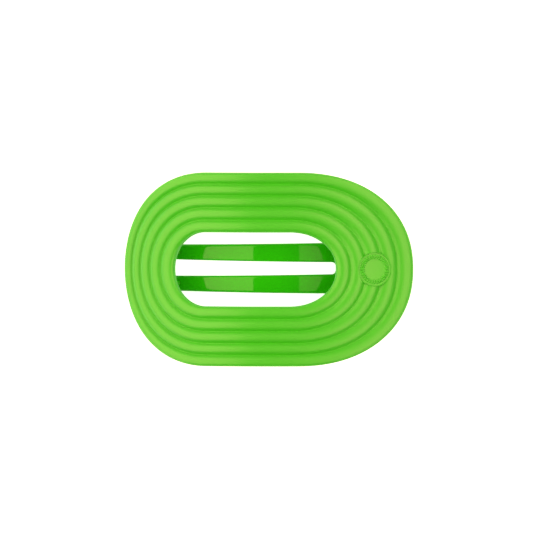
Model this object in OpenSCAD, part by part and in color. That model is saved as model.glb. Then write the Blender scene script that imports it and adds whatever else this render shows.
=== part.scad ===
// Flat hair claw clip: an arched oval shell of five half-round ribs, a forked
// lever behind it, a steel pin through both and a torsion spring that closes
// the fork. X runs along the clip, Y across it, and Z up out of the shell's face.

/* [Front shell] */
// Width of the shell across the clip
shell_w = 57.6; // [54:0.2:62]
// Reach of the shell each way from its crest, along the clip
shell_reach = 43; // [42:0.2:45]
// Wall from the rib crests to the underside
shell_wall = 3; // [2.6:0.1:3.4]
// Radius of the arch on the steep side, where the fork's tips close
arch_steep_r = 58; // [56:1:64]
// Radius of the arch on the flat side, over the hinge
arch_flat_r = 150; // [140:5:170]

/* [Opening and ribs] */
// Width of the central opening
opening_w = 22.4; // [20:0.2:24]
// Length of the opening's end past the last straight stretch, on the flat side
opening_end = 13.6; // [12:0.2:14.4]
// Where the straight ribs stop on the flat side
straight_right = 6.3; // [5:0.1:8]
// Where the straight ribs stop on the steep side, along the arch
straight_left = 19.6; // [18.5:0.1:20.5]
// Number of half-round ribs from the opening to the edge
ribs = 5; // [4:1:6]
// Depth of the groove between two ribs
groove_d = 0.8; // [0.4:0.1:1]
// Width of the groove, as a share of one rib
groove_share = 0.2; // [0.1:0.02:0.3]

/* [Round boss] */
// Distance of the boss from the crest
boss_x = 31.5; // [30:0.5:32.5]
// Outer diameter of the boss
boss_d = 8.8; // [8:0.2:9.6]
// Diameter of its flat floor
boss_floor_d = 6.2; // [5:0.2:6.6]
// Height of its rim above the rib crests
boss_rise = 0.3; // [0.1:0.05:0.5]

/* [Back lever] */
// Thickness of the lever
lever_t = 2.6; // [2.2:0.1:2.8]
// Depth of the lever's crest below the shell's crest
lever_depth = 12.5; // [12:0.1:13]
// Distance between the centre lines of the two arms
arm_spacing = 9.37; // [9:0.05:10]
// Width of an arm at its root
arm_root_w = 5.7; // [5.4:0.1:5.8]
// Width of an arm at its tip
arm_tip_w = 4.1; // [3.8:0.1:4.4]
// Half-width of the thumb tab
tab_half_w = 14; // [12:0.5:16]
// Length of the straight tip past the upturned bend
tip_l = 4; // [3.4:0.1:4]

/* [Hinge] */
// Distance of the hinge from the crest
hinge_x = 26; // [25.5:0.1:26.5]
// Depth of the hinge axis below the shell's crest
hinge_depth = 10.6; // [10.4:0.1:10.8]
// Diameter of the pin
pin_d = 2; // [1.8:0.1:2.2]
// Length of the pin
pin_l = 22; // [21.6:0.2:22.4]
// Radial play of the lever on the pin
pin_play = 0.08; // [0.04:0.01:0.1]
// Wire diameter of the spring
wire_d = 0.9; // [0.7:0.05:1]
// Full turns of the spring between its legs
spring_turns = 5; // [3:1:6]

/* [Hidden] */
$fn = 96;

// Lever's side profile: a long arc each way from its crest, an upturned bend
// and a straight tip on the steep side
lever_crest_x = 3;
lever_steep_r = 60;
lever_flat_r = 80;
bend_r = 9;
bend_start = 30;
bend_end = 20;
fall = 1 - cos(bend_start);
// Height of the shell's crest above the surface that the bends rest on
crest_z = lever_depth + (lever_steep_r + bend_r) * fall + lever_t;
// Angle at which the tab's lower edge reaches that same surface
tab_angle = acos((lever_flat_r + lever_depth - crest_z) / (lever_flat_r - lever_t));
tab_end = lever_crest_x + lever_flat_r * sin(tab_angle);
tab_mid = 27;
tab_back = 5.5;
slot_end = 20.4;
slot_corner_r = 1.4;
slot_half_w = (arm_spacing - arm_root_w) / 2;
root_x = 21;
tip_x = lever_crest_x - (lever_steep_r + bend_r) * sin(bend_start) - bend_r * sin(bend_end)
    - tip_l * cos(bend_end);
peg_r = 0.7;
peg_h = 1.3;
peg_x = -27.2;
peg_step = 3.4;
pegs = 3;

// Hinge: ears of the shell outside, knuckles of the lever inside them
hinge_z = crest_z - hinge_depth;
ear_t = 2.4;
ear_r = 2.6;
ear_y = pin_l / 2 - ear_t / 2;
knuckle_t = 2.3;
knuckle_r = 2.5;
knuckle_gap = 0.3;
knuckle_y = ear_y - ear_t / 2 - knuckle_gap - knuckle_t / 2;
press = 0.02;

// Spring: mean coil radius, pitch, and the angle and length of each leg
coil_r = 2;
pitch = wire_d + 0.1;
shell_leg_deg = 8.7;
lever_leg_deg = 34.4;
shell_leg_l = 8;
lever_leg_l = 9.5;
spring_half = pitch * (spring_turns + 0.5) / 2;
wire_sides = 10;
ring_step = 20;

// Two low ribs on each side of a leg keep it in place
seat_t = 0.8;
seat_h = 0.9;
seat_from_x = 29.6;
seat_to_x = 34.6;
seat_y = wire_d / 2 + 0.5 + seat_t / 2;

// Outlines in plan: a superellipse on the flat side, and on the steep side an
// ellipse that is laid out along the arch and so foreshortened by it
square_power = 2.2;
rib_swell = 0.25;
rib_squeeze = -0.4;
end_stretch = 1.03;
end_steps = 22;

function grow(from, to, q, swell) = from + (to - from) * q + 4 * swell * q * (1 - q);
function power(v, p) = sign(v) * pow(abs(v), 2 / p);
function along_arch(s) = arch_steep_r * sin(s / arch_steep_r * 180 / PI);
function half_w(q) = grow(opening_w / 2, shell_w / 2, q, rib_swell);
function right_reach(q) = grow(opening_end, shell_reach - straight_right, q, rib_squeeze);
function edge_length() = arch_steep_r * asin(shell_reach / arch_steep_r) * PI / 180;
function left_reach(q) = q < 1 ? half_w(q) * end_stretch : edge_length() - straight_left;

// Points of the rib line at q, from 0 at the opening to 1 at the shell's edge
function rib_line(q) = concat(
    [for (i = [0 : end_steps]) let (t = -90 + 180 * i / end_steps)
        [straight_right + right_reach(q) * power(cos(t), square_power),
         half_w(q) * power(sin(t), square_power)]],
    [for (i = [0 : end_steps]) let (t = 90 + 180 * i / end_steps)
        [along_arch(left_reach(q) * cos(t) - straight_left), half_w(q) * sin(t)]]
);

// A slice of a disc centred on the origin, from angle a0 to a1
module wedge(r, a0, a1) {
    polygon([[0, 0], [r * cos(a0), r * sin(a0)],
             [r * cos((a0 + a1) / 2), r * sin((a0 + a1) / 2)], [r * cos(a1), r * sin(a1)]]);
}

// A curved band r_out - r_in thick, from angle a0 to a1
module band(r_out, r_in, a0, a1) {
    intersection() {
        difference() {
            circle(r_out, $fn = 360);
            circle(r_in, $fn = 360);
        }
        wedge(r_out * 1.5, a0, a1);
    }
}

// Stands a side profile up in the X-Z plane, width wide across Y
module across(width, y = 0) {
    translate([0, y + width / 2, 0]) rotate([90, 0, 0]) linear_extrude(width) children();
}

module prism(q) {
    linear_extrude(2 * crest_z) polygon(rib_line(q));
}

// The arch from its crest surface down to a depth
module arch(depth) {
    past = 0.6;
    steep = asin((shell_reach + past) / arch_steep_r);
    flat = asin((shell_reach + past) / arch_flat_r);
    across(shell_w + 2) {
        translate([0, crest_z - arch_steep_r])
            band(arch_steep_r, arch_steep_r - depth, 90, 90 + steep);
        translate([0, crest_z - arch_flat_r])
            band(arch_flat_r, arch_flat_r - depth, 90 - flat, 90);
    }
}

// Groove between rib i and the next
module groove(i) {
    intersection() {
        difference() {
            prism((i + groove_share / 2) / ribs);
            translate([0, 0, -1]) linear_extrude(2 * crest_z + 2)
                polygon(rib_line((i - groove_share / 2) / ribs));
        }
        translate([0, 0, 1]) arch(groove_d + 1);
    }
}

// Round boss with a rim and a flat floor, square to the arch
module boss() {
    depth = shell_wall / 2 + boss_rise;
    floor_d = boss_rise - 0.05;  // the floor stays just above the arch
    lean = asin(boss_x / arch_flat_r);
    translate([0, 0, crest_z - arch_flat_r]) rotate([0, lean, 0])
        translate([0, 0, arch_flat_r + boss_rise]) difference() {
            translate([0, 0, -depth]) cylinder(h = depth, d = boss_d);
            translate([0, 0, -floor_d]) cylinder(h = 1, d = boss_floor_d);
        }
}

// Side profile of an ear or a knuckle: a round end at the axis and a web that
// widens to foot_w at the height foot_z
module lug(r, foot_w, foot_z) {
    translate([hinge_x, hinge_z]) circle(r);
    polygon([[hinge_x - r, hinge_z], [hinge_x - foot_w / 2, foot_z],
             [hinge_x + foot_w / 2, foot_z], [hinge_x + r, hinge_z]]);
}

// Side profile of a low rib that stands up (h > 0) or hangs down (h < 0) from
// a face of radius r whose centre is at centre_x
module seat_side(r, h, centre_x) {
    root = 0.6;
    from = asin((seat_from_x - centre_x) / r);
    to = asin((seat_to_x - centre_x) / r);
    band(r + (h > 0 ? h : root), r + (h > 0 ? -root : h), 90 - to, 90 - from);
}

module leg_seat(y) {
    for (side = [-1, 1]) across(seat_t, y + side * seat_y) children();
}

module hinge_bore(r) {
    translate([hinge_x, 0, hinge_z]) rotate([90, 0, 0]) cylinder(h = pin_l + 2, r = r, center = true);
}

module front_shell() color("limegreen") {
    ear_foot_w = 7.2;
    ear_foot_z = crest_z - 4.2;
    difference() {
        union() {
            difference() {
                intersection() {
                    arch(shell_wall);
                    prism(1);
                }
                translate([0, 0, -1]) linear_extrude(2 * crest_z + 2) polygon(rib_line(0));
                for (i = [1 : ribs - 1]) groove(i);
            }
            boss();
            for (side = [-1, 1]) across(ear_t, side * ear_y) lug(ear_r, ear_foot_w, ear_foot_z);
            leg_seat(spring_half) translate([0, crest_z - arch_flat_r])
                seat_side(arch_flat_r - shell_wall, -seat_h, 0);
        }
        hinge_bore(pin_d / 2 - press);
    }
}

// Plan of one arm, with its rounded tip
module arm_plan(side) {
    nose_x = tip_x + arm_tip_w / 2 - lever_t / 2;
    translate([0, side * arm_spacing / 2]) {
        polygon([[nose_x, -arm_tip_w / 2], [root_x, -arm_root_w / 2],
                 [root_x, arm_root_w / 2], [nose_x, arm_tip_w / 2]]);
        translate([nose_x, 0]) circle(d = arm_tip_w);
    }
}

// Plan of the bridge and the thumb tab, less the rounded end of the slot
module tab_plan() {
    tab_power = 2.4;
    bridge_w = arm_spacing + arm_root_w;
    corner_y = slot_half_w - slot_corner_r;
    corner_x = slot_end - slot_corner_r;
    difference() {
        union() {
            translate([corner_x, -bridge_w / 2]) square([tab_mid - corner_x, bridge_w]);
            polygon([for (i = [0 : 2 * end_steps - 1]) let (t = 180 * i / end_steps)
                [tab_mid + (cos(t) > 0 ? tab_end - tab_mid : tab_back) * power(cos(t), tab_power),
                 tab_half_w * power(sin(t), tab_power)]]);
        }
        for (side = [-1, 1]) translate([corner_x, side * corner_y]) circle(slot_corner_r);
        translate([corner_x - 2, -corner_y]) square([2 + slot_corner_r, 2 * corner_y]);
    }
}

// Side profile of the whole lever
module lever_side() {
    steep_z = crest_z - lever_depth - lever_steep_r;
    bend_x = lever_crest_x - (lever_steep_r + bend_r) * sin(bend_start);
    bend_z = steep_z + (lever_steep_r + bend_r) * cos(bend_start);
    translate([lever_crest_x, steep_z])
        band(lever_steep_r, lever_steep_r - lever_t, 90, 90 + bend_start);
    translate([lever_crest_x, crest_z - lever_depth - lever_flat_r])
        band(lever_flat_r, lever_flat_r - lever_t, 90 - tab_angle, 90);
    translate([bend_x, bend_z]) {
        band(bend_r + lever_t, bend_r, 270 - bend_end, 270 + bend_start);
        rotate(-bend_end) {
            translate([-tip_l, -bend_r - lever_t]) square([tip_l, lever_t]);
            translate([-tip_l, -bend_r - lever_t / 2]) circle(d = lever_t);
        }
    }
}

// Height of the lever's upper face at a distance along the clip
function bend_face(x) = crest_z - lever_depth - lever_steep_r
    + (lever_steep_r + bend_r) * cos(bend_start)
    - sqrt(pow(bend_r, 2) - pow(x - lever_crest_x + (lever_steep_r + bend_r) * sin(bend_start), 2));
function flat_face(x) = crest_z - lever_depth - lever_flat_r
    + sqrt(pow(lever_flat_r, 2) - pow(x - lever_crest_x, 2));

module back_lever() color("green") {
    web_w = 6.8;
    web_z = flat_face(hinge_x) - 1.3;
    difference() {
        union() {
            intersection() {
                across(shell_w) lever_side();
                translate([0, 0, -1]) linear_extrude(crest_z) {
                    arm_plan(-1);
                    arm_plan(1);
                    tab_plan();
                }
            }
            for (side = [-1, 1], i = [0 : pegs - 1]) let (x = peg_x - i * peg_step)
                translate([x, side * arm_spacing / 2, bend_face(x) - lever_t / 2])
                    cylinder(h = peg_h + lever_t / 2, r = peg_r, $fn = 32);
            leg_seat(-spring_half) translate([lever_crest_x, crest_z - lever_depth - lever_flat_r])
                seat_side(lever_flat_r, seat_h, lever_crest_x);
            for (side = [-1, 1]) across(knuckle_t, side * knuckle_y) lug(knuckle_r, web_w, web_z);
        }
        hinge_bore(pin_d / 2 + pin_play);
    }
}

module hinge_pin() color("silver") {
    chamfer = 0.2;
    translate([hinge_x, 0, hinge_z]) rotate([90, 0, 0]) rotate_extrude()
        polygon([[0, -pin_l / 2], [pin_d / 2 - chamfer, -pin_l / 2], [pin_d / 2, chamfer - pin_l / 2],
                 [pin_d / 2, pin_l / 2 - chamfer], [pin_d / 2 - chamfer, pin_l / 2], [0, pin_l / 2]]);
}

// The wire's centre line as rows of [x, y, z, angle], where the angle is that
// of the line from the axis to the wire: a straight leg, the coil and a leg
function coil_point(a, y) = [coil_r * cos(a), y, coil_r * sin(a), a];
function leg_point(p, l, turn) = [p[0] - turn * l * sin(p[3]), p[1], p[2] + turn * l * cos(p[3]), p[3]];
start_a = 90 + shell_leg_deg;
sweep_a = 180 - shell_leg_deg - lever_leg_deg + 360 * spring_turns;
coil_steps = round(sweep_a / ring_step);
coil = [for (i = [0 : coil_steps])
    coil_point(start_a + sweep_a * i / coil_steps, spring_half * (1 - 2 * i / coil_steps))];
wire = concat([leg_point(coil[0], shell_leg_l, -1)], coil, [leg_point(coil[coil_steps], lever_leg_l, 1)]);

module torsion_spring() color("gainsboro") {
    rings = [for (p = wire) for (j = [0 : wire_sides - 1])
        let (b = 360 * j / wire_sides, r = wire_d / 2)
            [hinge_x + p[0] + r * cos(b) * cos(p[3]), p[1] + r * sin(b),
             hinge_z + p[2] + r * cos(b) * sin(p[3])]];
    last = (len(wire) - 1) * wire_sides;
    sides = [for (i = [0 : len(wire) - 2], j = [0 : wire_sides - 1])
        let (k = (j + 1) % wire_sides, a = i * wire_sides, b = a + wire_sides)
            each [[a + j, b + j, b + k], [a + j, b + k, a + k]]];
    ends = [[for (j = [0 : wire_sides - 1]) j], [for (j = [wire_sides - 1 : -1 : 0]) last + j]];
    polyhedron(rings, concat(sides, ends));
}

front_shell();
back_lever();
hinge_pin();
torsion_spring();
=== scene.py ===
"""Flat hair claw clip: the looks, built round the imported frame.

Lengths in the settings are in metres, as in the frame. +X runs from the fork's
tips to the thumb tab, +Y across the clip and +Z out of the ribbed face.
"""

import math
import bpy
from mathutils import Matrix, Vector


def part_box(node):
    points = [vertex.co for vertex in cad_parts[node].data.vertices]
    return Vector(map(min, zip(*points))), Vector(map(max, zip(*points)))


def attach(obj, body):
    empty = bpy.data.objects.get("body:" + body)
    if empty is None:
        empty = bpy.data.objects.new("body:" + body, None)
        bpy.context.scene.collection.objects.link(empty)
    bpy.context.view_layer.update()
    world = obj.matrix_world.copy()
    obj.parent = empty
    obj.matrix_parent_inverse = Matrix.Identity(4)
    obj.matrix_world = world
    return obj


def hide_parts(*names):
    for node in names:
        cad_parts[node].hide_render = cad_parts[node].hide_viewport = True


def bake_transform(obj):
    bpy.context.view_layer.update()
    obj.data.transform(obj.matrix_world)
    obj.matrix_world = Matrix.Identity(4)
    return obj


bl_info = {
    "name": "Flat Hair Claw Clip",
    "version": (1, 0, 0),
    "blender": (4, 5, 0),
    "location": "3D View > Sidebar > Claw Clip",
    "description": "Builds a ribbed flat claw clip with a forked lever, a pin and a torsion spring",
    "category": "Mesh",
}

import bmesh
import bpy
import numpy as np
from bpy.props import FloatProperty, FloatVectorProperty, IntProperty, PointerProperty
from bpy.types import Operator, Panel, PropertyGroup
from mathutils import Matrix, Vector

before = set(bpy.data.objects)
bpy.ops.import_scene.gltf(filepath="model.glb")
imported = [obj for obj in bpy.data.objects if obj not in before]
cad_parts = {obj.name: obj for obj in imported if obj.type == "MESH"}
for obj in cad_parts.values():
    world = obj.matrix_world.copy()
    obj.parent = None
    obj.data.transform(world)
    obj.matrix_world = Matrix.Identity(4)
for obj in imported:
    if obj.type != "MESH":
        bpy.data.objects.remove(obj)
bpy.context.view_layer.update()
MM = 0.001
SHELL_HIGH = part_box("front_shell")[1]
LEVER_LOW, LEVER_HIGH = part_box("back_lever")
PIN_LOW, PIN_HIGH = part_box("hinge_pin")
PIN_RADIUS = (PIN_HIGH[0] - PIN_LOW[0]) / 2
HINGE = (np.array(PIN_LOW) + np.array(PIN_HIGH)) / 2
EAR = {"thick": 2.4 * MM, "radius": 2.6 * MM, "foot_half": 3.6 * MM, "foot_depth": 6.4 * MM}
KNUCKLE = {"thick": 2.3 * MM, "radius": 2.5 * MM, "foot_half": 3.4 * MM, "foot_depth": 6.6 * MM}
EAR_GAP = 0.3 * MM
LIGHTER, DEEPER = 1.03, 0.97
PLASTIC_IOR = 1.49


# Settings


def length(name, about, default, low=0.0, high=1.0):
    """A length in metres, shown to five places."""
    return FloatProperty(
        name=name, description=about, default=default, min=low, max=high,
        unit="LENGTH", precision=5,
    )


def colour(name, about, default):
    """A linear colour of three channels from 0 to 1."""
    return FloatVectorProperty(
        name=name, description=about, default=default, size=3, min=0.0, max=1.0, subtype="COLOR"
    )


class ClipShellSettings(PropertyGroup):
    """Sizes and colour of the ribbed shell"""

    ribs: IntProperty(
        name="Ribs", description="Half-round ribs round the opening", default=5, min=3, max=7)
    rib_height: length("Rib height", "From a groove up to a rib's crest", 0.96 * MM)
    groove_fillet: length("Groove fillet", "Rounding of the bottom of a groove", 0.2 * MM)
    wall: length("Wall", "From the ribs' crests to the underside", 3.0 * MM)
    edge_roll: length(
        "Edge roll", "How far the first and last rib roll down their outer side", 1.3 * MM)
    edge_radius: length("Edge radius", "Rounding of the underside's two edges", 0.7 * MM)
    opening_width: length("Opening width", "Across the clip", 21.96 * MM)
    opening_end: length(
        "Opening end", "Reach of the opening past its straight edges, flat side", 14.0 * MM)
    straight_right: length(
        "Straight right", "End of the opening's straight edges, flat side", 6.3 * MM)
    straight_outer: length(
        "Straight outer", "End of the outline's straight edges, flat side", 8.6 * MM)
    straight_left: length(
        "Straight left", "End of the straight ribs, steep side, along the arch", 19.6 * MM)
    arch_steep: length("Steep arch radius", "Radius of the arch over the fork's tips", 58.0 * MM)
    arch_flat: length("Flat arch radius", "Radius of the arch over the hinge", 150.0 * MM)
    arch_ease: length("Arch ease", "Length over which one radius turns into the other", 12.0 * MM)
    tint: colour("Shell colour", "Base colour of the satin shell", (0.037, 0.505, 0.001))


class ClipBossSettings(PropertyGroup):
    """Sizes of the round boss on the shell"""

    distance: length("Distance", "From the crest to the boss's centre", 31.5 * MM)
    radius: length("Lip radius", "Outer radius of the thin lip round the boss", 5.15 * MM)
    rim_outer: length("Rim outer radius", "Outer radius of the raised rim", 4.4 * MM)
    rim_inner: length("Rim inner radius", "Inner radius of the raised rim", 3.2 * MM)
    rim_top: length("Rim top", "Height of the rim above the arch", 0.18 * MM)
    reeds: IntProperty(
        name="Reeds", description="Fine ridges round the rim", default=32, min=12, max=80)
    reed_depth: length("Reed depth", "From a reed's top to the gap beside it", 0.36 * MM)
    dish: length("Dish", "Depth of the shallow dish inside the rim", 0.12 * MM)


class ClipLeverSettings(PropertyGroup):
    """Sizes and colour of the forked lever"""

    thickness: length("Thickness", "Of the lever", 2.6 * MM)
    depth: length("Depth", "Of the lever's crest below the shell's crest", 12.5 * MM)
    crest: length("Crest", "Place of the lever's crest along the clip", 3.0 * MM)
    steep: length("Steep radius", "Radius of the arms", 60.0 * MM)
    flat: length("Flat radius", "Radius of the bridge and the tab", 80.0 * MM)
    bend: length("Bend radius", "Radius of the upturned bend", 9.0 * MM)
    arm_spacing: length("Arm spacing", "Between the arms' centre lines", 9.37 * MM)
    arm_root: length("Arm root width", "Width of an arm at the bridge", 5.86 * MM)
    arm_tip: length("Arm tip width", "Width of an arm at its tip", 4.32 * MM)
    slot_end: length("Slot end", "Where the slot between the arms ends", 20.4 * MM)
    slot_corner: length("Slot corner", "Corner radius of the slot's end", 1.4 * MM)
    tab_middle: length("Tab middle", "Where the thumb tab is widest", 27.0 * MM)
    tab_back: length("Tab back", "Reach of the tab's shoulders towards the arms", 5.5 * MM)
    edge: length("Edge radius", "Rounding of the lever's edges", 0.7 * MM)
    peg_radius: length("Peg radius", "Of the grip pegs", 0.7 * MM)
    peg_height: length("Peg height", "Of the grip pegs", 1.3 * MM)
    tint: colour("Lever colour", "Base colour of the glossy lever", (0.022, 0.46, 0.0005))


class ClipHingeSettings(PropertyGroup):
    """Sizes and colour of the pin and the spring"""

    wire: length("Wire", "Diameter of the spring's wire", 0.9 * MM)
    coil: length("Coil radius", "Mean radius of the spring's coil", 2.0 * MM)
    gap: length("Coil gap", "Between two turns of the coil", 0.1 * MM)
    turns: IntProperty(
        name="Turns", description="Full turns of the spring", default=5, min=3, max=6)
    shell_leg: length("Shell leg", "Length of the leg under the shell", 8.0 * MM)
    lever_leg: length("Lever leg", "Length of the leg on the tab", 9.5 * MM)
    shell_leg_angle: FloatProperty(
        name="Shell leg angle", description="Rise of the leg under the shell",
        default=math.radians(8.7), subtype="ANGLE")
    lever_leg_angle: FloatProperty(
        name="Lever leg angle", description="Fall of the leg on the tab",
        default=math.radians(34.4), subtype="ANGLE")
    play: length("Play", "Radial play of the lever on the pin", 0.08 * MM)
    tint: colour("Steel colour", "Base colour of the pin and the spring", (0.58, 0.58, 0.60))


class ClipStageSettings(PropertyGroup):
    """The floor, the lights and the camera"""

    floor: colour("Floor colour", "Of the pale floor", (0.82, 0.82, 0.82))
    glow: FloatProperty(
        name="Floor glow", description="Light that the floor gives to the clip", default=0.5)
    white: FloatProperty(
        name="Floor white", description="Light of the floor as it is seen", default=0.95)
    soft_left: FloatProperty(name="Left softbox", description="Brightness of its face", default=2.4)
    panel: FloatProperty(name="Right panel", description="Brightness of its face", default=1.2)
    soft_right: FloatProperty(
        name="Right softbox", description="Brightness of its face", default=2.7)
    soft_back: FloatProperty(name="Back softbox", description="Brightness of its face", default=0.5)
    light_tint: colour("Light colour", "Colour of the softboxes", (1.0, 0.8, 0.34))
    sky: FloatProperty(
        name="Sky", description="Strength of the even light from all round", default=0.06)
    camera_distance: length("Camera distance", "From the clip", 3.0, 0.5, 10.0)
    camera_tilt: FloatProperty(
        name="Camera tilt", description="Lean of the view towards +Y", default=math.radians(1.8),
        subtype="ANGLE")
    view_width: length("View width", "Width that the camera takes in at the crest", 158.05 * MM)


SETTINGS = {
    "clip_shell": ClipShellSettings,
    "clip_boss": ClipBossSettings,
    "clip_lever": ClipLeverSettings,
    "clip_hinge": ClipHingeSettings,
    "clip_stage": ClipStageSettings,
}


# Mesh building


def grid_faces(rows, columns, wrap_rows, wrap_columns):
    """Quads between neighbouring points of a grid, numbered row by row. A wrapped
    direction joins its last line to its first."""
    i = np.arange(rows if wrap_rows else rows - 1)
    j = np.arange(columns if wrap_columns else columns - 1)
    i, j = np.meshgrid(i, j, indexing="ij")
    i2, j2 = (i + 1) % rows, (j + 1) % columns
    corners = (i * columns + j, i2 * columns + j, i2 * columns + j2, i * columns + j2)
    return np.stack(corners, axis=-1).reshape(-1, 4)


def fan(centre, ring):
    """Triangles from one centre vertex to a closed ring of vertices."""
    return np.stack([np.full(len(ring), centre), ring, np.roll(ring, -1)], axis=-1)


class Mould:
    """Collects closed surfaces, given as arrays of points and faces, into one mesh."""

    def __init__(self):
        self.points = []
        self.faces = []
        self.count = 0

    def add(self, points, *blocks):
        """Adds a surface's points and its faces, given as arrays of point numbers with
        one face in each row."""
        points = np.asarray(points, float).reshape(-1, 3)
        self.points.append(points)
        for block in blocks:
            self.faces += (block + self.count).tolist()
        self.count += len(points)

    def add_tube(self, rings):
        """A tube through the rings [ring, point, xyz], closed at each end by a fan."""
        rows, columns, _ = rings.shape
        ends = rings[[0, -1]].mean(axis=1)
        centre = rows * columns
        wall = grid_faces(rows, columns, False, True)
        first_end = fan(centre, np.arange(columns))
        last_end = fan(centre + 1, np.arange(columns)[::-1] + (rows - 1) * columns)
        self.add(np.concatenate([rings.reshape(-1, 3), ends]), wall, first_end, last_end)

    def object(self, name, material, flat_above=60.0):
        """Turns the surfaces into one object, with doubles merged and normals outwards."""
        mesh = bpy.data.meshes.new(name)
        mesh.from_pydata(np.concatenate(self.points).tolist(), [], self.faces)
        work = bmesh.new()
        work.from_mesh(mesh)
        bmesh.ops.remove_doubles(work, verts=work.verts, dist=0.001 * MM)
        bmesh.ops.dissolve_degenerate(work, edges=work.edges, dist=0.0005 * MM)
        bmesh.ops.recalc_face_normals(work, faces=work.faces)
        work.to_mesh(mesh)
        work.free()
        mesh.materials.append(material)
        mesh.polygons.foreach_set("use_smooth", np.ones(len(mesh.polygons), bool))
        mesh.set_sharp_from_angle(angle=math.radians(flat_above))
        piece = bpy.data.objects.new(name, mesh)
        bpy.context.scene.collection.objects.link(piece)
        return piece


# Shapes of the shell


def smooth_step(low, high, value):
    """From 0 at low to 1 at high: t squared times 3 - 2t, where t is the share of the
    way from low to high, held between 0 and 1."""
    t = np.clip((value - low) / (high - low), 0.0, 1.0)
    return t * t * (3.0 - 2.0 * t)


def arch(shell):
    """The arch's side profile as columns along its length s: place x, height z below
    the crest, and lean of the normal. The curvature eases from 1/steep to 1/flat
    across the crest, the lean is its integral and x and z follow the lean."""
    tips_end, tab_end, step = -62.0 * MM, 58.0 * MM, 0.05 * MM
    s = np.arange(tips_end, tab_end, step)
    ease = smooth_step(-shell.arch_ease / 2, shell.arch_ease / 2, s)
    bend = (1 - ease) / shell.arch_steep + ease / shell.arch_flat
    start = np.searchsorted(s, 0.0)
    lean = np.cumsum(bend) * step
    lean -= lean[start]
    x = np.cumsum(np.cos(lean)) * step
    z = -np.cumsum(np.sin(lean)) * step
    return s, x - x[start], z - z[start], lean


def on_arch(shell, s, y, out):
    """Point at s along the arch and y across it, lifted out along the normal."""
    table_s, table_x, table_z, table_lean = arch(shell)
    x = np.interp(s, table_s, table_x)
    z = np.interp(s, table_s, table_z)
    lean = np.interp(s, table_s, table_lean)
    crest = SHELL_HIGH[2]
    return np.stack([x + out * np.sin(lean), y + 0 * x, crest + z + out * np.cos(lean)], axis=-1)


def grow(start, end, q, swell):
    """From start to end as q goes from 0 to 1, plus a swell that is greatest half-way."""
    return start + (end - start) * q + 4 * swell * q * (1 - q)


def around_angles():
    """Angles round the flat end, close together where the boss stands."""
    near, quarter = 17.0, 90.0
    outer = np.linspace(near, quarter, 44)
    middle = np.linspace(-near, near, 100)
    return np.radians(np.concatenate([-outer[::-1], middle[1:-1], outer]))


def rib_line(shell, q):
    """The rib line at q, from 0 at the opening to 1 at the edge, as (s, y) round the
    shell: half a superellipse on the flat side, half an ellipse laid along the arch on
    the steep side, and straight stretches between them. The ellipse is longest between
    the opening and the edge, and shorter by a power of q towards each."""
    swell, squeeze, tuck = 0.25 * MM, -0.4 * MM, 0.3 * MM
    inner_fullness, outer_fullness = 2.05, 2.2
    longest, less_inside, less_outside = 1.035, 0.07, 0.0232
    power = 2 / grow(inner_fullness, outer_fullness, q, 0.0)[None, :]
    stretch = (longest - less_inside * (1 - q) ** 8 - less_outside * q**4)[None, :]
    reach = SHELL_HIGH[0] + tuck - shell.straight_outer
    half = grow(shell.opening_width / 2, SHELL_HIGH[1], q, swell)[None, :]
    right = grow(shell.opening_end, reach, q, squeeze)[None, :]
    straight_end = grow(shell.straight_right, shell.straight_outer, q, 0.0)[None, :]
    t = around_angles()[:, None]
    flat_x = straight_end + right * np.abs(np.cos(t)) ** power
    flat_y = half * np.sign(np.sin(t)) * np.abs(np.sin(t)) ** power
    table_s, table_x, _, _ = arch(shell)
    flat_s = np.interp(flat_x, table_x, table_s)
    straight = np.linspace(1.0, 0.0, 26)[1:-1, None]
    top_s = -shell.straight_left + straight * (flat_s[-1:] + shell.straight_left)
    turn = np.linspace(math.pi / 2, 1.5 * math.pi, 110)[:, None]
    steep_s = -shell.straight_left + half * stretch * np.cos(turn)
    steep_y = half * np.sin(turn)
    s = np.concatenate([flat_s, top_s, steep_s, top_s[::-1]])
    y = np.concatenate([flat_y, half + 0 * top_s, steep_y, -half + 0 * top_s])
    return s, y


def rib_relief(shell, w):
    """Height of a rib below its crest at w from -1 to 1 across it: an arc of a circle
    as deep as the rib is high, whose ends round into the grooves as a hyperbola."""
    half = (SHELL_HIGH[1] - shell.opening_width / 2) / shell.ribs / 2
    radius = (half**2 + shell.rib_height**2) / (2 * shell.rib_height)
    arc = np.sqrt(radius**2 - (w * half) ** 2) - radius
    above = arc + shell.rib_height
    return np.hypot(above, shell.groove_fillet) - np.hypot(shell.rib_height, shell.groove_fillet)


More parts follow.
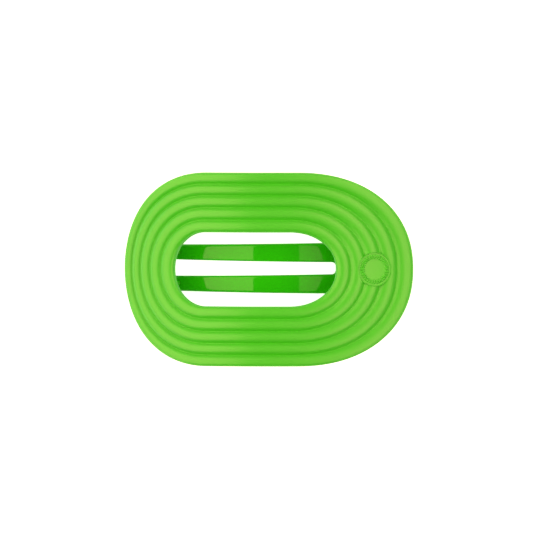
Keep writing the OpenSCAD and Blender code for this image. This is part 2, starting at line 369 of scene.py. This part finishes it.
def shell_section(shell):
    """The closed section across the ring as (q, out): the ribs' tops, the outer wall,
    the underside and the opening's wall. The first rib rolls down to the opening as a
    quarter ellipse, the last one rolls down to the edge as a fuller quarter
    superellipse, and the underside's edges are quarter circles."""
    width = SHELL_HIGH[1] - shell.opening_width / 2
    q, out = [], []
    count, fullness = 27, 2.7
    for rib in range(shell.ribs):
        w = np.sin(np.linspace(-math.pi / 2, math.pi / 2, count))[(1 if rib else 0):]
        relief = rib_relief(shell, w)
        quarter = np.sqrt(np.clip(1 - w**2, 0, 1))
        fuller = np.clip(1 - np.abs(w) ** fullness, 0, 1) ** (1 / fullness)
        if rib == 0:
            relief = np.where(w < 0, shell.edge_roll * (quarter - 1), relief)
        if rib == shell.ribs - 1:
            relief = np.where(w > 0, shell.edge_roll * (fuller - 1), relief)
        q.append((rib + 0.5 + w / 2) / shell.ribs)
        out.append(relief)
    turn = np.linspace(0, math.pi / 2, 7)
    inset = shell.edge_radius * (1 - np.cos(turn)) / width
    drop = -shell.wall + shell.edge_radius * (1 - np.sin(turn))
    wall = np.linspace(-shell.edge_roll, drop[0], 4)[1:-1]
    under = np.linspace(1 - inset[-1], inset[-1], 18)[1:-1]
    q += [1 + 0 * wall, 1 - inset, under, inset[::-1], 0 * wall]
    out += [wall, drop, 0 * under - shell.wall, drop[::-1], wall[::-1]]
    return np.concatenate(q), np.concatenate(out)


def sink_under_boss(shell, boss, s, y, out):
    """Lowers the face by a smooth step of the distance from the boss's centre, so that
    only the boss shows there."""
    away = np.hypot(s - boss_place(shell, boss), y)
    hollow, deep, level = 1.1 * MM, boss.radius - 0.55 * MM, boss.radius - 0.15 * MM
    sunk = out - hollow * (1 - smooth_step(deep, level, away))
    return np.where(out > -shell.edge_roll, sunk, out)


def boss_place(shell, boss):
    """Length along the arch at which the boss stands."""
    table_s, table_x, _, _ = arch(shell)
    return float(np.interp(boss.distance, table_x, table_s))


def bead(r, low, high):
    """A half-round bead between radii low and high, from 0 at its feet to 1."""
    w = (2 * r - low - high) / (high - low)
    return np.sqrt(np.clip(1 - w**2, 0, 1))


def half_circle_steps(low, high, count):
    """Radii from low to high, close together at both ends."""
    return (low + high) / 2 - (high - low) / 2 * np.cos(np.linspace(0, math.pi, count))


def add_boss(mould, shell, boss):
    """A round disc, lifted out of the arch: the radius runs over a dished floor, a
    half-round rim, a narrow moat and a thin lip, then down a skirt. The rim is
    reeded: its height waves round the angle, most at its middle."""
    floor, moat, skirt, lip_top = -0.12 * MM, -0.22 * MM, -1.6 * MM, 0.07 * MM
    lip_inner, moat_inset, steps_a_reed = boss.radius - 0.3 * MM, 0.08 * MM, 7
    inside = np.linspace(0, boss.rim_inner, 10)[1:-1]
    on_rim = half_circle_steps(boss.rim_inner, boss.rim_outer, 15)
    on_lip = half_circle_steps(lip_inner, boss.radius, 9)
    in_moat = [boss.rim_outer + moat_inset, lip_inner - moat_inset]
    r = np.concatenate([inside, on_rim, in_moat, on_lip, [boss.radius]])[:, None]
    turn = np.linspace(0, 2 * math.pi, boss.reeds * steps_a_reed, endpoint=False)[None, :]
    dish = floor - boss.dish * (1 - (r / boss.rim_inner) ** 2)
    rim = bead(r, boss.rim_inner, boss.rim_outer)
    reeds = boss.reed_depth * (0.5 - 0.5 * np.cos(boss.reeds * turn)) * rim
    foot = floor + (moat - floor) * smooth_step(boss.rim_inner, boss.rim_outer, r)
    rim_out = foot + (boss.rim_top - foot) * rim - reeds
    lip_out = moat + (lip_top - moat) * bead(r, lip_inner, boss.radius)
    out = np.where(r < boss.rim_inner, dish, np.where(r <= boss.rim_outer, rim_out, lip_out))
    out[-1] = skirt
    place = boss_place(shell, boss)
    s = place + r * np.cos(turn)
    y = r * np.sin(turn)
    points = on_arch(shell, s, y, out)
    centre = on_arch(shell, place, np.array(0.0), floor - boss.dish)
    rows, columns = s.shape
    face = grid_faces(rows, columns, False, True)
    middle = fan(rows * columns, np.arange(columns))
    base = np.arange((rows - 1) * columns, rows * columns)[None, :]
    mould.add(np.concatenate([points.reshape(-1, 3), centre[None, :]]), face, middle, base)


# Shapes of the lever


def lever_side(lever, x):
    """The lever's upper face at x: its height, and the normal's x and z. One arc each
    way from the crest, an upturned bend of the opposite curvature and a straight tip."""
    start, end = math.radians(30), math.radians(20)
    low = SHELL_HIGH[2] - lever.depth
    bend_x = lever.crest - (lever.steep + lever.bend) * math.sin(start)
    bend_z = low - lever.steep + (lever.steep + lever.bend) * math.cos(start)
    tip_x = bend_x - lever.bend * math.sin(end)
    tip_z = bend_z - lever.bend * math.cos(end)
    radius = np.where(x > lever.crest, lever.flat, lever.steep)
    lean = np.arcsin(np.clip((x - lever.crest) / radius, -1, 1))
    z = low - radius * (1 - np.cos(lean))
    in_bend = x < lever.crest - lever.steep * math.sin(start)
    bend_lean = -np.arcsin(np.clip((x - bend_x) / lever.bend, -math.sin(end), 1))
    z = np.where(in_bend, bend_z - lever.bend * np.cos(bend_lean), z)
    lean = np.where(in_bend, bend_lean, lean)
    z = np.where(x < tip_x, tip_z + (tip_x - x) * math.tan(end), z)
    return z, np.sin(lean), np.cos(lean)


def on_lever(lever, x, y, out):
    """Point at x and y on the lever's upper face, lifted out along its normal."""
    z, nx, nz = lever_side(lever, x)
    return np.stack([x + out * nx, y + 0 * x, z + out * nz], axis=-1)


def arm_half_width(lever, x, nose_x):
    """Half the width of an arm at x, which grows in a straight line from tip to root."""
    root_x = 21.0 * MM
    t = np.clip((x - nose_x) / (root_x - nose_x), 0, 1)
    return (lever.arm_tip + (lever.arm_root - lever.arm_tip) * t) / 2


def fork_outline(lever):
    """Two chains of plan points for the half at +Y, matched station by station: the
    outer one goes round the tip, along the arm and round the tab, and the inner one
    along the slot and round its corner. The tab's edge is a superellipse."""
    middle = lever.arm_spacing / 2
    step_up, step_in, step_out, fullness = 0.3 * MM, 0.1 * MM, 0.35 * MM, 2.4
    lean_back = 0.47 * MM
    nose = lever.arm_tip / 2
    nose_x = LEVER_LOW[0] + lean_back + nose
    corner_x = lever.slot_end - lever.slot_corner
    turn = np.linspace(0, math.pi / 2, 13)
    tip_x = nose_x - nose * np.cos(turn)
    tip_rise = nose * np.sin(turn)
    arm_x = np.linspace(nose_x, corner_x, 84)[1:]
    arm_w = arm_half_width(lever, arm_x, nose_x)
    root_w = arm_half_width(lever, np.array(corner_x), nose_x)
    curve = np.linspace(0, math.pi / 2, 9)[1:]
    slot_x = corner_x + lever.slot_corner * np.sin(curve)
    slot_y = middle - root_w - lever.slot_corner * (1 - np.cos(curve))
    edge_y = middle + lever.arm_root / 2
    power, tab_w = 2 / fullness, LEVER_HIGH[1]
    back = np.linspace(0, math.pi / 2, 33)
    shoulder_x = lever.tab_middle - lever.tab_back * np.cos(back) ** power
    shoulder_y = tab_w * np.sin(back) ** power
    keep = shoulder_y > edge_y + step_up
    bridge_x = np.linspace(lever.slot_end + step_in, shoulder_x[keep][0] - step_out, 4)
    front = np.linspace(math.pi / 2, 0, 49)[1:]
    front_x = lever.tab_middle + (LEVER_HIGH[0] - lever.tab_middle) * np.cos(front) ** power
    front_y = tab_w * np.abs(np.sin(front)) ** power
    outer_x = np.concatenate([tip_x, arm_x, slot_x, bridge_x, shoulder_x[keep], front_x])
    outer_y = np.concatenate([
        middle + tip_rise, middle + arm_w, middle + arm_half_width(lever, slot_x, nose_x),
        edge_y + 0 * bridge_x, shoulder_y[keep], front_y])
    inner_x = np.concatenate([tip_x, arm_x, slot_x])
    inner_y = np.concatenate([middle - tip_rise, middle - arm_w, slot_y])
    return np.stack([outer_x, outer_y], -1), np.stack([inner_x, inner_y], -1)


def add_fork(mould, lever):
    """Arms, bridge and tab: a rounded edge profile is carried along half the outline
    and bent onto the lever's side profile, strips close its two faces between the
    matched chains and down the middle of the tab, and the half is mirrored. Towards the
    tips the edge's radius grows to nearly half the thickness."""
    outer, inner = fork_outline(lever)
    slot_middle = np.array([[lever.slot_end, 0.0]])
    chain = np.concatenate([slot_middle, inner[:0:-1], outer])
    ahead, behind = np.roll(chain, -1, 0), np.roll(chain, 1, 0)
    along = ahead - behind
    along[0], along[-1] = (0, 1), (0, -1)
    along /= np.linalg.norm(along, axis=1, keepdims=True)
    inward = np.stack([along[:, 1], -along[:, 0]], -1)
    tip_edge, support = lever.thickness / 2 - 0.06 * MM, 0.3 * MM
    ease_start, ease_end = LEVER_LOW[0] + 1.2 * MM, LEVER_LOW[0] + 4.0 * MM
    near_tip = 1 - smooth_step(ease_start, ease_end, chain[:, 0])
    radius = lever.edge + (tip_edge - lever.edge) * near_tip
    turn = np.linspace(0, math.pi / 2, 7)
    inset = np.concatenate([[1], 1 - np.sin(turn), 1 - np.sin(turn[::-1]), [1]])
    top = 1 - np.cos(turn)
    inset = radius[:, None] * inset[None, :]
    inset[:, [0, -1]] += support
    out = np.concatenate([
        np.zeros((len(chain), 1)), -radius[:, None] * top[None, :],
        -lever.thickness + radius[:, None] * top[None, ::-1],
        np.full((len(chain), 1), -lever.thickness)], axis=1)
    plan = chain[:, None, :] + inset[:, :, None] * inward[:, None, :]
    sides = on_lever(lever, plan[..., 0], plan[..., 1], out)
    rows, columns = out.shape
    faces = [grid_faces(rows, columns, False, False)]
    points = [sides.reshape(-1, 3)]
    count = rows * columns
    tip = len(inner)
    for column in (0, columns - 1):
        ring = np.arange(rows) * columns + column
        spine_x = plan[2 * tip:, column, 0]
        depth = np.full(len(spine_x), out[0, column])
        spine = on_lever(lever, spine_x, 0 * spine_x, depth)
        points.append(spine)
        spine_id = count + np.arange(len(spine))
        count += len(spine)
        far = ring[tip:]
        near = np.concatenate([ring[tip:0:-1], spine_id])
        faces.append(np.stack([far[:-1], far[1:], near[1:], near[:-1]], axis=-1))
        faces.append(np.array([[ring[1], ring[0], spine_id[0]]]))
    half = np.concatenate(points)
    mould.add(half, *faces)
    mould.add(half * np.array([1, -1, 1]), *[block[:, ::-1] for block in faces])


def add_pegs(mould, lever):
    """Three round pegs on each arm: a profile of radius and height turned about Z."""
    first, step, count = -27.2 * MM, 3.4 * MM, 3
    turn = np.linspace(0, 2 * math.pi, 28, endpoint=False)
    curve = np.linspace(0, math.pi / 2, 6)
    dome = 0.35 * MM
    r = np.concatenate([[lever.peg_radius], lever.peg_radius - dome * (1 - np.cos(curve))])
    h = np.concatenate([[-lever.thickness / 2], lever.peg_height - dome * (1 - np.sin(curve))])
    for side in (-1, 1):
        y = side * lever.arm_spacing / 2
        for x in first - step * np.arange(count):
            z = lever_side(lever, np.array(x))[0]
            ring = np.stack([
                x + r[:, None] * np.cos(turn), y + r[:, None] * np.sin(turn),
                z + h[:, None] + 0 * turn], axis=-1)
            mould.add_tube(ring)


# Shapes of the hinge


def lug_reach(turn, radius, foot_half, foot_depth):
    """Distance from the hinge axis to a lug's edge at an angle: a round end of the
    given radius on one side, and on the other a web that widens to its foot."""
    c, s = np.cos(turn), -np.sin(turn)
    slant, tiny = foot_half - radius, 1e-9
    side = radius * foot_depth / np.maximum(foot_depth * np.abs(c) - slant * s, tiny)
    foot = foot_depth / np.maximum(s, tiny)
    return np.where(s > 0, np.minimum(side, foot), radius)


def add_lug(mould, y, bore, up, thick, radius, foot_half, foot_depth):
    """One ear or knuckle with its bore. Round the axis runs the angle, and across it a
    closed loop from the bore over one face, the rounded edge and the other face. Its
    foot points up or down."""
    turn = np.linspace(0, 2 * math.pi, 96, endpoint=False)
    reach = lug_reach(turn, radius, foot_half, foot_depth)[:, None]
    edge, lip = 0.3 * MM, 0.12 * MM
    curve = np.linspace(0, math.pi / 2, 5)
    half = thick / 2
    out = [bore + 0 * reach, bore + lip + 0 * reach]
    out += [reach - edge * (1 - math.sin(a)) for a in curve]
    out += [reach - edge * (1 - math.sin(a)) for a in curve[::-1]]
    out += [bore + lip + 0 * reach, bore + 0 * reach]
    across = [-half + lip, -half]
    across += [-half + edge * (1 - math.cos(a)) for a in curve]
    across += [half - edge * (1 - math.cos(a)) for a in curve[::-1]]
    across += [half, half - lip]
    out = np.concatenate(out, axis=1)
    across = np.array(across)[None, :]
    flip = -1 if up else 1
    ring = np.stack([
        HINGE[0] + out * np.cos(turn)[:, None], y + across + 0 * out,
        HINGE[2] + flip * out * np.sin(turn)[:, None]], axis=-1)
    rows, columns, _ = ring.shape
    mould.add(ring, grid_faces(rows, columns, True, True))


def add_leg_guides(mould, place, y):
    """Two low rounded bars, one each side of a spring leg. place lifts a point at x
    and y out of the face that they stand on, and it may hang them down from it."""
    first, last, apart = 29.6, 34.6, 1.35 * MM
    along = np.linspace(first, last, 12) * MM
    half, height, root, soft = 0.4 * MM, 0.9 * MM, 0.6 * MM, 0.25 * MM
    curve = np.linspace(0, math.pi / 2, 4)
    round_y = half - soft + soft * np.cos(curve)
    round_h = height - soft + soft * np.sin(curve)
    loop_y = np.concatenate([[half], round_y, -round_y[::-1], [-half]])
    loop_h = np.concatenate([[-root], round_h, round_h[::-1], [-root]])
    for side in (-1, 1):
        middle = y + side * apart
        x = along[:, None] + 0 * loop_y
        mould.add_tube(place(x, middle + loop_y + 0 * x, loop_h + 0 * x))


def spring_path(hinge):
    """Centre line of the spring as points: a straight leg, a coil that steps along the
    pin as it turns, and a straight leg. With it come the angle of the outward direction
    at each point, and half the coil's length."""
    leg_steps = 8
    pitch = hinge.wire + hinge.gap
    half = pitch * (hinge.turns + 0.5) / 2
    start = math.pi / 2 + hinge.shell_leg_angle
    sweep = math.pi - hinge.shell_leg_angle - hinge.lever_leg_angle + 2 * math.pi * hinge.turns
    turn = np.linspace(0, 1, 36 * hinge.turns + 16)
    angle = start + sweep * turn
    along = half * (1 - 2 * turn)
    coil = np.stack([hinge.coil * np.cos(angle), along, hinge.coil * np.sin(angle)], -1)
    legs = []
    for index, reach, way in ((0, hinge.shell_leg, -1), (-1, hinge.lever_leg, 1)):
        forward = way * np.array([-math.sin(angle[index]), 0, math.cos(angle[index])])
        legs.append(coil[index] + reach * np.linspace(0, 1, leg_steps + 1)[1:, None] * forward)
    path = np.concatenate([legs[0][::-1], coil, legs[1]])
    angle = np.concatenate([np.full(leg_steps, angle[0]), angle, np.full(leg_steps, angle[-1])])
    return path + HINGE, angle, half


def add_wire(mould, path, angle, radius):
    """A round wire along the path: each ring lies in the plane of the outward
    direction and the pin, and its ends are rounded by two smaller rings."""
    end_share = 0.72
    turn = np.linspace(0, 2 * math.pi, 14, endpoint=False)
    outward = np.stack([np.cos(angle), 0 * angle, np.sin(angle)], -1)[:, None, :]
    pin_way = np.array([0.0, 1.0, 0.0])
    size = np.full(len(path), radius)
    size[[0, -1]] = radius * end_share
    ring = (path[:, None, :] + size[:, None, None]
            * (np.cos(turn)[None, :, None] * outward + np.sin(turn)[None, :, None] * pin_way))
    mould.add_tube(ring)


def add_pin(mould, radius, half):
    """A round pin along Y whose profile of radius and length has chamfered ends."""
    chamfer, soft = 0.2 * MM, 0.05 * MM
    r = np.array([radius - chamfer - soft, radius - chamfer, radius - soft, radius,
                  radius, radius - soft, radius - chamfer, radius - chamfer - soft])
    end = np.array([half, half - soft * 0.4, half - chamfer, half - chamfer - soft])
    y = np.concatenate([-end, end[::-1]])
    turn = np.linspace(0, 2 * math.pi, 64, endpoint=False)
    ring = np.stack([
        HINGE[0] + r[:, None] * np.cos(turn), y[:, None] + 0 * turn,
        HINGE[2] + r[:, None] * np.sin(turn)], axis=-1)
    mould.add_tube(ring)


# Materials


def socket(group, name, kind, way, default=None):
    """Gives a shader node group a named input or output."""
    item = group.interface.new_socket(name=name, in_out=way, socket_type=kind)
    if default is not None:
        item.default_value = default


def moulding_group():
    """Moulded plastic: a fine grain from the tool's face as height, slow changes of
    gloss as roughness, and slow changes of shade as colour."""
    group = bpy.data.node_groups.new("Moulded Plastic Skin", "ShaderNodeTree")
    socket(group, "Colour", "NodeSocketColor", "INPUT", (0.5, 0.5, 0.5, 1))
    socket(group, "Deep Colour", "NodeSocketColor", "INPUT", (0.4, 0.4, 0.4, 1))
    socket(group, "Gloss Low", "NodeSocketFloat", "INPUT", 0.3)
    socket(group, "Gloss High", "NodeSocketFloat", "INPUT", 0.4)
    socket(group, "Grain Size", "NodeSocketFloat", "INPUT", 3000.0)
    socket(group, "Colour", "NodeSocketColor", "OUTPUT")
    socket(group, "Roughness", "NodeSocketFloat", "OUTPUT")
    socket(group, "Height", "NodeSocketFloat", "OUTPUT")
    nodes, links = group.nodes, group.links
    given, made = nodes.new("NodeGroupInput"), nodes.new("NodeGroupOutput")
    place = nodes.new("ShaderNodeTexCoord")
    grain = nodes.new("ShaderNodeTexNoise")
    grain.inputs["Detail"].default_value = 3.0
    links.new(place.outputs["Object"], grain.inputs["Vector"])
    links.new(given.outputs["Grain Size"], grain.inputs["Scale"])
    links.new(grain.outputs["Fac"], made.inputs["Height"])
    slow = nodes.new("ShaderNodeTexNoise")
    slow.inputs["Scale"].default_value = 55.0
    slow.inputs["Detail"].default_value = 2.0
    links.new(place.outputs["Object"], slow.inputs["Vector"])
    gloss = nodes.new("ShaderNodeMapRange")
    gloss.inputs["From Min"].default_value = 0.3
    gloss.inputs["From Max"].default_value = 0.7
    links.new(slow.outputs["Fac"], gloss.inputs["Value"])
    links.new(given.outputs["Gloss Low"], gloss.inputs["To Min"])
    links.new(given.outputs["Gloss High"], gloss.inputs["To Max"])
    links.new(gloss.outputs["Result"], made.inputs["Roughness"])
    shade = nodes.new("ShaderNodeMix")
    shade.data_type = "RGBA"
    links.new(slow.outputs["Fac"], shade.inputs["Factor"])
    links.new(given.outputs["Colour"], shade.inputs["A"])
    links.new(given.outputs["Deep Colour"], shade.inputs["B"])
    links.new(shade.outputs["Result"], made.inputs["Colour"])
    return group


def steel_group():
    """Drawn steel: fine lines round the wire or along the pin as height and as a change
    of roughness, and a second tone in some of them."""
    group = bpy.data.node_groups.new("Drawn Steel Skin", "ShaderNodeTree")
    socket(group, "Colour", "NodeSocketColor", "INPUT", (0.6, 0.6, 0.6, 1))
    socket(group, "Warm Colour", "NodeSocketColor", "INPUT", (0.5, 0.48, 0.45, 1))
    socket(group, "Line Size", "NodeSocketFloat", "INPUT", 4000.0)
    socket(group, "Colour", "NodeSocketColor", "OUTPUT")
    socket(group, "Roughness", "NodeSocketFloat", "OUTPUT")
    socket(group, "Height", "NodeSocketFloat", "OUTPUT")
    nodes, links = group.nodes, group.links
    given, made = nodes.new("NodeGroupInput"), nodes.new("NodeGroupOutput")
    place = nodes.new("ShaderNodeTexCoord")
    stretch = nodes.new("ShaderNodeMapping")
    stretch.inputs["Scale"].default_value = (1.0, 0.12, 1.0)
    links.new(place.outputs["Object"], stretch.inputs["Vector"])
    lines = nodes.new("ShaderNodeTexNoise")
    lines.inputs["Detail"].default_value = 4.0
    links.new(stretch.outputs["Vector"], lines.inputs["Vector"])
    links.new(given.outputs["Line Size"], lines.inputs["Scale"])
    links.new(lines.outputs["Fac"], made.inputs["Height"])
    rough = nodes.new("ShaderNodeMapRange")
    rough.inputs["To Min"].default_value = 0.2
    rough.inputs["To Max"].default_value = 0.42
    links.new(lines.outputs["Fac"], rough.inputs["Value"])
    links.new(rough.outputs["Result"], made.inputs["Roughness"])
    tone = nodes.new("ShaderNodeMix")
    tone.data_type = "RGBA"
    links.new(lines.outputs["Fac"], tone.inputs["Factor"])
    links.new(given.outputs["Colour"], tone.inputs["A"])
    links.new(given.outputs["Warm Colour"], tone.inputs["B"])
    links.new(tone.outputs["Result"], made.inputs["Colour"])
    return group


def skin_material(name, group, values, bump, depth):
    """A Principled material whose colour, roughness and bump come from a skin group."""
    found = bpy.data.materials.get(name)
    if found:
        return found
    material = bpy.data.materials.new(name)
    material.use_nodes = True
    nodes, links = material.node_tree.nodes, material.node_tree.links
    shader = nodes["Principled BSDF"]
    skin = nodes.new("ShaderNodeGroup")
    tree = bpy.data.node_groups.get(group)
    builders = {"Moulded Plastic Skin": moulding_group, "Drawn Steel Skin": steel_group}
    skin.node_tree = tree or builders[group]()
    for key, value in values.items():
        skin.inputs[key].default_value = value
    relief = nodes.new("ShaderNodeBump")
    relief.inputs["Strength"].default_value = bump
    relief.inputs["Distance"].default_value = depth
    links.new(skin.outputs["Colour"], shader.inputs["Base Color"])
    links.new(skin.outputs["Roughness"], shader.inputs["Roughness"])
    links.new(skin.outputs["Height"], relief.inputs["Height"])
    links.new(relief.outputs["Normal"], shader.inputs["Normal"])
    return material


def shade_of(tint, factor):
    """A tint made lighter or deeper by a factor, with an opaque alpha."""
    return tuple(channel * factor for channel in tint) + (1.0,)


def shell_plastic(shell):
    """Satin lime plastic with a thin glossier skin."""
    values = {
        "Colour": shade_of(shell.tint, LIGHTER), "Deep Colour": shade_of(shell.tint, DEEPER),
        "Gloss Low": 0.44, "Gloss High": 0.46, "Grain Size": 2600.0}
    material = skin_material(
        "Satin Lime Plastic", "Moulded Plastic Skin", values, bump=0.012, depth=0.02 * MM)
    shader = material.node_tree.nodes["Principled BSDF"]
    shader.inputs["IOR"].default_value = PLASTIC_IOR
    shader.inputs["Specular IOR Level"].default_value = 1.0
    shader.inputs["Coat Weight"].default_value = 0.25
    shader.inputs["Coat Roughness"].default_value = 0.16
    return material


def lever_plastic(lever):
    """Polished plastic of a deeper green."""
    values = {
        "Colour": shade_of(lever.tint, LIGHTER), "Deep Colour": shade_of(lever.tint, DEEPER),
        "Gloss Low": 0.035, "Gloss High": 0.06, "Grain Size": 1400.0}
    material = skin_material(
        "Polished Green Plastic", "Moulded Plastic Skin", values, bump=0.01, depth=0.01 * MM)
    material.node_tree.nodes["Principled BSDF"].inputs["IOR"].default_value = PLASTIC_IOR
    return material


def steel(hinge):
    """Drawn steel for the pin and the spring."""
    same, duller = 1.0, 0.88
    values = {
        "Colour": shade_of(hinge.tint, same), "Warm Colour": shade_of(hinge.tint, duller),
        "Line Size": 4000.0}
    material = skin_material("Drawn Steel", "Drawn Steel Skin", values, bump=0.15, depth=0.01 * MM)
    material.node_tree.nodes["Principled BSDF"].inputs["Metallic"].default_value = 1.0
    return material


# Operators


class CLIP_OT_shell(Operator):
    """Build the ribbed shell with its boss, hinge ears and spring guides"""

    bl_idname = "clip.shell"
    bl_label = "Front Shell"

    def execute(self, context):
        shell, boss = context.scene.clip_shell, context.scene.clip_boss
        hinge = context.scene.clip_hinge
        q, out = shell_section(shell)
        s, y = rib_line(shell, q)
        out = sink_under_boss(shell, boss, s, y, out[None, :] + 0 * s)
        mould = Mould()
        rows, columns = s.shape
        mould.add(on_arch(shell, s, y, out), grid_faces(rows, columns, True, True))
        add_boss(mould, shell, boss)
        ear_y = PIN_HIGH[1] - EAR["thick"] / 2
        for side in (-1, 1):
            add_lug(mould, side * ear_y, PIN_RADIUS, True, **EAR)
        leg_y = spring_path(hinge)[2]

        def under_shell(x, y, h):
            table_s, table_x, _, _ = arch(shell)
            return on_arch(shell, np.interp(x, table_x, table_s), y, -shell.wall - h)

        add_leg_guides(mould, under_shell, leg_y)
        piece = mould.object("front_shell_moulding", shell_plastic(shell), flat_above=75.0)
        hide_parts("front_shell")
        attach(piece, "shell")
        return {"FINISHED"}


class CLIP_OT_lever(Operator):
    """Build the forked lever with its thumb tab, grip pegs and hinge knuckles"""

    bl_idname = "clip.lever"
    bl_label = "Back Lever"

    def execute(self, context):
        lever, hinge = context.scene.clip_lever, context.scene.clip_hinge
        mould = Mould()
        add_fork(mould, lever)
        add_pegs(mould, lever)
        knuckle_y = PIN_HIGH[1] - EAR["thick"] - EAR_GAP - KNUCKLE["thick"] / 2
        for side in (-1, 1):
            add_lug(mould, side * knuckle_y, PIN_RADIUS + hinge.play, False, **KNUCKLE)
        leg_y = spring_path(hinge)[2]

        def on_tab(x, y, h):
            return on_lever(lever, x, y, h)

        add_leg_guides(mould, on_tab, -leg_y)
        piece = mould.object("back_lever_moulding", lever_plastic(lever), flat_above=50.0)
        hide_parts("back_lever")
        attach(piece, "lever")
        return {"FINISHED"}


class CLIP_OT_hinge(Operator):
    """Build the steel pin and the torsion spring. A real spring winds as the clip opens; this one
    keeps one fixed shape.
    """

    bl_idname = "clip.hinge"
    bl_label = "Pin and Spring"

    def execute(self, context):
        hinge = context.scene.clip_hinge
        pin = Mould()
        add_pin(pin, PIN_RADIUS, PIN_HIGH[1])
        piece = pin.object("hinge_pin_steel", steel(hinge), flat_above=40.0)
        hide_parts("hinge_pin")
        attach(piece, "shell")
        path, angle, half = spring_path(hinge)
        wire = Mould()
        add_wire(wire, path, angle, hinge.wire / 2)
        piece = wire.object("torsion_spring_wire", steel(hinge))
        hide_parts("torsion_spring")
        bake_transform(piece)
        return {"FINISHED"}


def softbox(name, across, along, level, size, brightness, tint):
    """A rectangular light that faces the clip from a place leaning from the zenith by
    one angle towards +X and one towards +Y. Its first size lies along level."""
    distance = 0.8
    way = Vector((math.tan(across), math.tan(along), 1.0)).normalized()
    level = (level - level.dot(way) * way).normalized()
    data = bpy.data.lights.new(name, "AREA")
    data.shape = "RECTANGLE"
    data.size, data.size_y = size
    data.energy = brightness * math.pi * size[0] * size[1]
    data.color = tint
    lamp = bpy.data.objects.new(name, data)
    lamp.location = distance * way
    lamp.rotation_euler = Matrix((level, way.cross(level), way)).transposed().to_euler()
    lamp.visible_camera = False
    bpy.context.scene.collection.objects.link(lamp)


class CLIP_OT_stage(Operator):
    """Set the pale floor, the soft light and the camera"""

    bl_idname = "clip.stage"
    bl_label = "Stage"

    def execute(self, context):
        scene, stage = context.scene, context.scene.clip_stage
        half = 2.0
        mesh = bpy.data.meshes.new("floor")
        corners = [(-half, -half, 0), (half, -half, 0), (half, half, 0), (-half, half, 0)]
        mesh.from_pydata(corners, [], [(0, 1, 2, 3)])
        material = bpy.data.materials.new("Pale Floor")
        material.use_nodes = True
        nodes, links = material.node_tree.nodes, material.node_tree.links
        shader = nodes["Principled BSDF"]
        shader.inputs["Base Color"].default_value = tuple(stage.floor) + (1.0,)
        shader.inputs["Roughness"].default_value = 0.9
        shader.inputs["Emission Color"].default_value = (1.0, 1.0, 1.0, 1.0)
        ray, glow = nodes.new("ShaderNodeLightPath"), nodes.new("ShaderNodeMapRange")
        glow.inputs["To Min"].default_value = stage.glow
        glow.inputs["To Max"].default_value = stage.white
        links.new(ray.outputs["Is Camera Ray"], glow.inputs["Value"])
        links.new(glow.outputs["Result"], shader.inputs["Emission Strength"])
        mesh.materials.append(material)
        floor = bpy.data.objects.new("floor", mesh)
        scene.collection.objects.link(floor)
        tint, rad = tuple(stage.light_tint), math.radians
        along_x, along_y, lean = Vector((1, 0, 0)), Vector((0, 1, 0)), rad(4)
        softbox("left softbox", rad(-47.7), lean, along_y, (1.5, 1.04), stage.soft_left, tint)
        softbox("right panel", rad(17.2), lean, along_y, (1.5, 0.22), stage.panel, tint)
        softbox("right softbox", rad(42), lean, along_y, (1.5, 0.52), stage.soft_right, tint)
        softbox("back softbox", 0.0, rad(66), along_x, (1.4, 0.5), stage.soft_back, tint)
        world = bpy.data.worlds.new("Studio")
        world.use_nodes = True
        backdrop = world.node_tree.nodes["Background"]
        backdrop.inputs["Color"].default_value = (1.0, 1.0, 1.0, 1.0)
        backdrop.inputs["Strength"].default_value = stage.sky
        scene.world = world
        scene.view_settings.view_transform = "Standard"
        data = bpy.data.cameras.new("camera")
        data.lens = data.sensor_width * stage.camera_distance / stage.view_width
        data.clip_end = 20.0
        camera = bpy.data.objects.new("camera", data)
        tilt = stage.camera_tilt
        aim = np.array([-0.66 * MM, 0.98 * MM, SHELL_HIGH[2]])
        back = np.array([0.0, math.sin(tilt), math.cos(tilt)])
        camera.location = tuple(aim + stage.camera_distance * back)
        camera.rotation_euler = (-tilt, 0.0, 0.0)
        scene.collection.objects.link(camera)
        scene.camera = camera
        return {"FINISHED"}


class CLIP_PT_panel(Panel):
    """The clip's operators and settings, in the sidebar of the 3D view"""

    bl_idname = "CLIP_PT_panel"
    bl_label = "Claw Clip"
    bl_space_type = "VIEW_3D"
    bl_region_type = "UI"
    bl_category = "Claw Clip"

    def draw(self, context):
        for group, operators in PANEL_ROWS:
            box = self.layout.box()
            for name in operators:
                box.operator(name)
            settings = getattr(context.scene, group)
            for key in settings.__annotations__:
                box.prop(settings, key)


PANEL_ROWS = (
    ("clip_shell", ("clip.shell",)),
    ("clip_boss", ()),
    ("clip_lever", ("clip.lever",)),
    ("clip_hinge", ("clip.hinge",)),
    ("clip_stage", ("clip.stage",)),
)
CLASSES = (CLIP_OT_shell, CLIP_OT_lever, CLIP_OT_hinge, CLIP_OT_stage, CLIP_PT_panel)


def register():
    """Adds the settings to the scene, and the operators and the panel."""
    for name, group in SETTINGS.items():
        bpy.utils.register_class(group)
        setattr(bpy.types.Scene, name, PointerProperty(type=group))
    for item in CLASSES:
        bpy.utils.register_class(item)


def unregister():
    """Takes away what register added, in reverse."""
    for item in reversed(CLASSES):
        bpy.utils.unregister_class(item)
    for name, group in SETTINGS.items():
        delattr(bpy.types.Scene, name)
        bpy.utils.unregister_class(group)


def main():
    """Builds the pieces and the stage."""
    register()
    bpy.ops.clip.shell()
    bpy.ops.clip.lever()
    bpy.ops.clip.hinge()
    bpy.ops.clip.stage()


if __name__ == "__main__":
    main()
